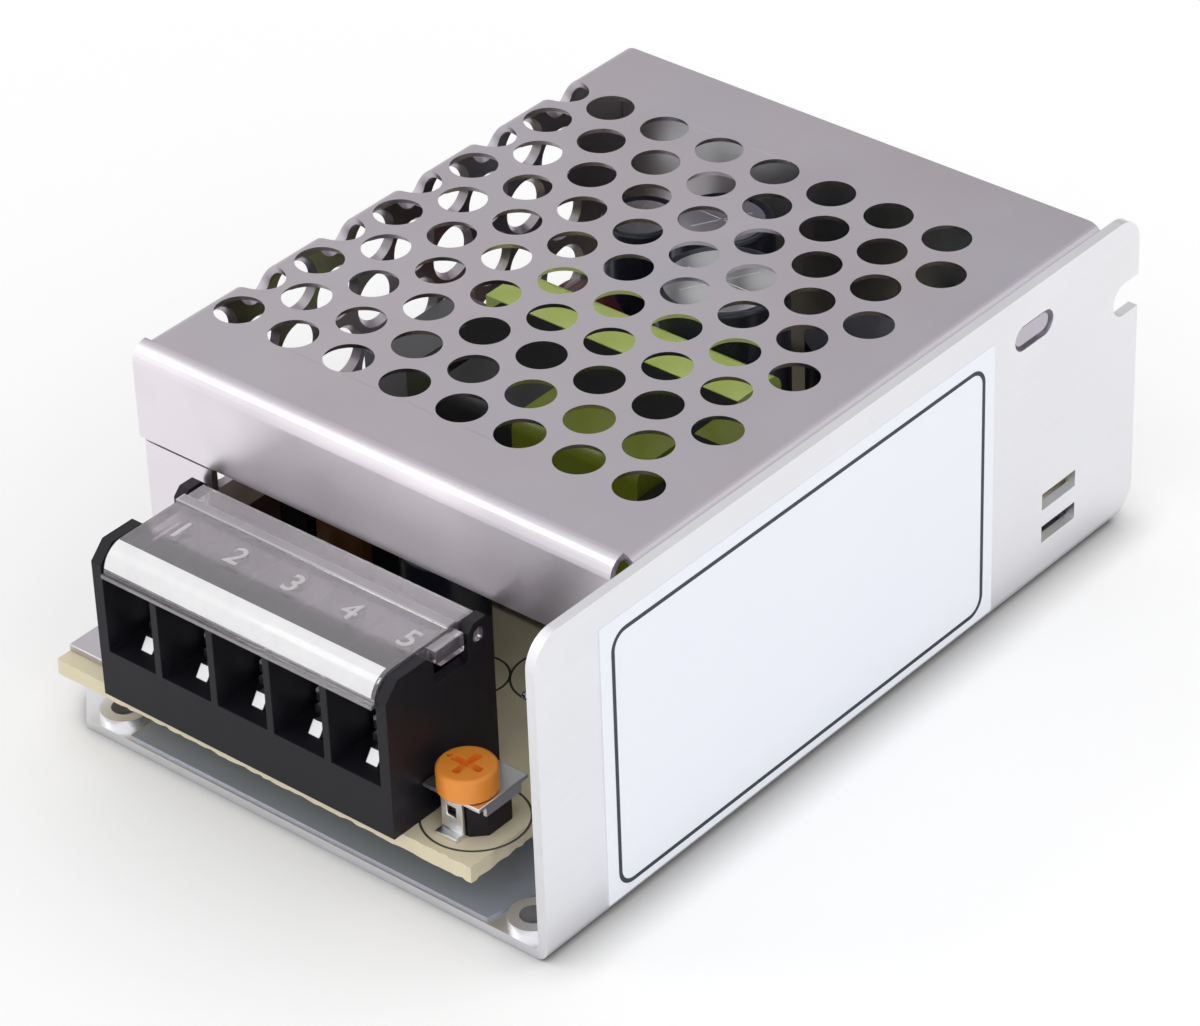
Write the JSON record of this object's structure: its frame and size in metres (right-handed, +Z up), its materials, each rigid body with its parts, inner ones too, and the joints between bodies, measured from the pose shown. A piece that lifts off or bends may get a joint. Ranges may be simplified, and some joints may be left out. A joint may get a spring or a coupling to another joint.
{
  "type": "mesh case switching power supply",
  "caption": "Small switching power supply in a folded aluminium case with a perforated cover, a screw terminal block under a clear hinged cover and an output trimmer.",
  "frame": {"origin": "middle of the footprint, on the underside of the bottom plate", "axes": "+Y runs along the case from the terminals to the rear wall, +Z is up, +X points to the labelled side wall"},
  "size_m": [0.0582, 0.0866, 0.033],
  "materials": {
    "case_aluminium": "satin",
    "cover_aluminium": "satin",
    "zinc_steel": "bright zinc",
    "label_film": "smooth film",
    "grey_film": "glossy film",
    "board_laminate": "bare laminate",
    "black_plastic": "moulded",
    "clear_plastic": "clear",
    "orange_plastic": "moulded",
    "ferrite": "matt",
    "yellow_tape": "tape",
    "capacitor_sleeve": "shrunk sleeve",
    "capacitor_box": "moulded",
    "brown_plastic": "moulded",
    "dark_ceramic": "matt",
    "red_ceramic": "dipped",
    "copper_winding": "enamelled wire"
  },
  "bodies": {
    "case": {"chassis": "case_aluminium", "cover": "cover_aluminium", "cover_screw": "zinc_steel", "side_label": "label_film", "insulating_film": "grey_film", "board_posts": "zinc_steel", "circuit_board": "board_laminate", "board_screws": "zinc_steel", "earth_tab": "zinc_steel", "terminal_block": "black_plastic", "terminal_plates": "zinc_steel", "trimmer_body": "black_plastic", "trimmer_frame": "zinc_steel", "transformer_core": "ferrite", "transformer_bobbin": "black_plastic", "transformer_winding": "yellow_tape", "bulk_capacitor": "capacitor_sleeve", "output_capacitor_1": "capacitor_sleeve", "output_capacitor_2": "capacitor_sleeve", "filter_capacitor": "capacitor_sleeve", "output_choke": "copper_winding", "film_capacitor": "capacitor_box", "fuse": "brown_plastic", "thermistor": "dark_ceramic", "safety_capacitor": "red_ceramic", "line_choke_core": "ferrite", "line_choke_bobbin": "black_plastic", "line_choke_winding": "copper_winding", "bridge_rectifier": "black_plastic", "switching_transistor": "black_plastic", "output_rectifier": "black_plastic", "heat_spreader": "case_aluminium", "device_clips": "zinc_steel", "optocoupler": "black_plastic", "control_chip": "black_plastic"},
    "lid": {"terminal_cover": "clear_plastic"},
    "rotor": {"trimmer_rotor": "orange_plastic"},
    "clamp_1": {"clamp_washer_1": "zinc_steel"},
    "screw_1": {"terminal_screw_1": "zinc_steel"},
    "clamp_2": {"clamp_washer_2": "zinc_steel"},
    "screw_2": {"terminal_screw_2": "zinc_steel"},
    "clamp_3": {"clamp_washer_3": "zinc_steel"},
    "screw_3": {"terminal_screw_3": "zinc_steel"},
    "clamp_4": {"clamp_washer_4": "zinc_steel"},
    "screw_4": {"terminal_screw_4": "zinc_steel"},
    "clamp_5": {"clamp_washer_5": "zinc_steel"},
    "screw_5": {"terminal_screw_5": "zinc_steel"}
  },
  "joints": [
    {"name": "cover_swing", "type": "hinge", "parent": "case", "child": "lid", "pos_m": [-0.00401, -0.03105, 0.0212], "axis": [-1, 0, 0], "range_deg": [0, 90]},
    {"name": "trimmer_turn", "type": "hinge", "parent": "case", "child": "rotor", "pos_m": [0.01679, -0.03725, 0.011], "axis": [0, 0, 1], "range_deg": [0, 270]},
    {"name": "clamp_lift_1", "type": "slide", "parent": "case", "child": "clamp_1", "axis": [0, 0, 1], "range_m": [0, 0.002]},
    {"name": "screw_turn_1", "type": "hinge", "parent": "clamp_1", "child": "screw_1", "pos_m": [-0.01733, -0.03525, 0.0133], "axis": [0, 0, 1], "range_deg": [0, 1440]},
    {"name": "clamp_lift_2", "type": "slide", "parent": "case", "child": "clamp_2", "axis": [0, 0, 1], "range_m": [0, 0.002]},
    {"name": "screw_turn_2", "type": "hinge", "parent": "clamp_2", "child": "screw_2", "pos_m": [-0.01067, -0.03525, 0.0133], "axis": [0, 0, 1], "range_deg": [0, 1440]},
    {"name": "clamp_lift_3", "type": "slide", "parent": "case", "child": "clamp_3", "axis": [0, 0, 1], "range_m": [0, 0.002]},
    {"name": "screw_turn_3", "type": "hinge", "parent": "clamp_3", "child": "screw_3", "pos_m": [-0.00401, -0.03525, 0.0133], "axis": [0, 0, 1], "range_deg": [0, 1440]},
    {"name": "clamp_lift_4", "type": "slide", "parent": "case", "child": "clamp_4", "axis": [0, 0, 1], "range_m": [0, 0.002]},
    {"name": "screw_turn_4", "type": "hinge", "parent": "clamp_4", "child": "screw_4", "pos_m": [0.00265, -0.03525, 0.0133], "axis": [0, 0, 1], "range_deg": [0, 1440]},
    {"name": "clamp_lift_5", "type": "slide", "parent": "case", "child": "clamp_5", "axis": [0, 0, 1], "range_m": [0, 0.002]},
    {"name": "screw_turn_5", "type": "hinge", "parent": "clamp_5", "child": "screw_5", "pos_m": [0.00931, -0.03525, 0.0133], "axis": [0, 0, 1], "range_deg": [0, 1440]}
  ],
  "couplings": [
    {"joint": "screw_turn_1", "follows": "clamp_lift_1", "rad_per_m": 12566},
    {"joint": "screw_turn_2", "follows": "clamp_lift_2", "rad_per_m": 12566},
    {"joint": "screw_turn_3", "follows": "clamp_lift_3", "rad_per_m": 12566},
    {"joint": "screw_turn_4", "follows": "clamp_lift_4", "rad_per_m": 12566},
    {"joint": "screw_turn_5", "follows": "clamp_lift_5", "rad_per_m": 12566}
  ]
}
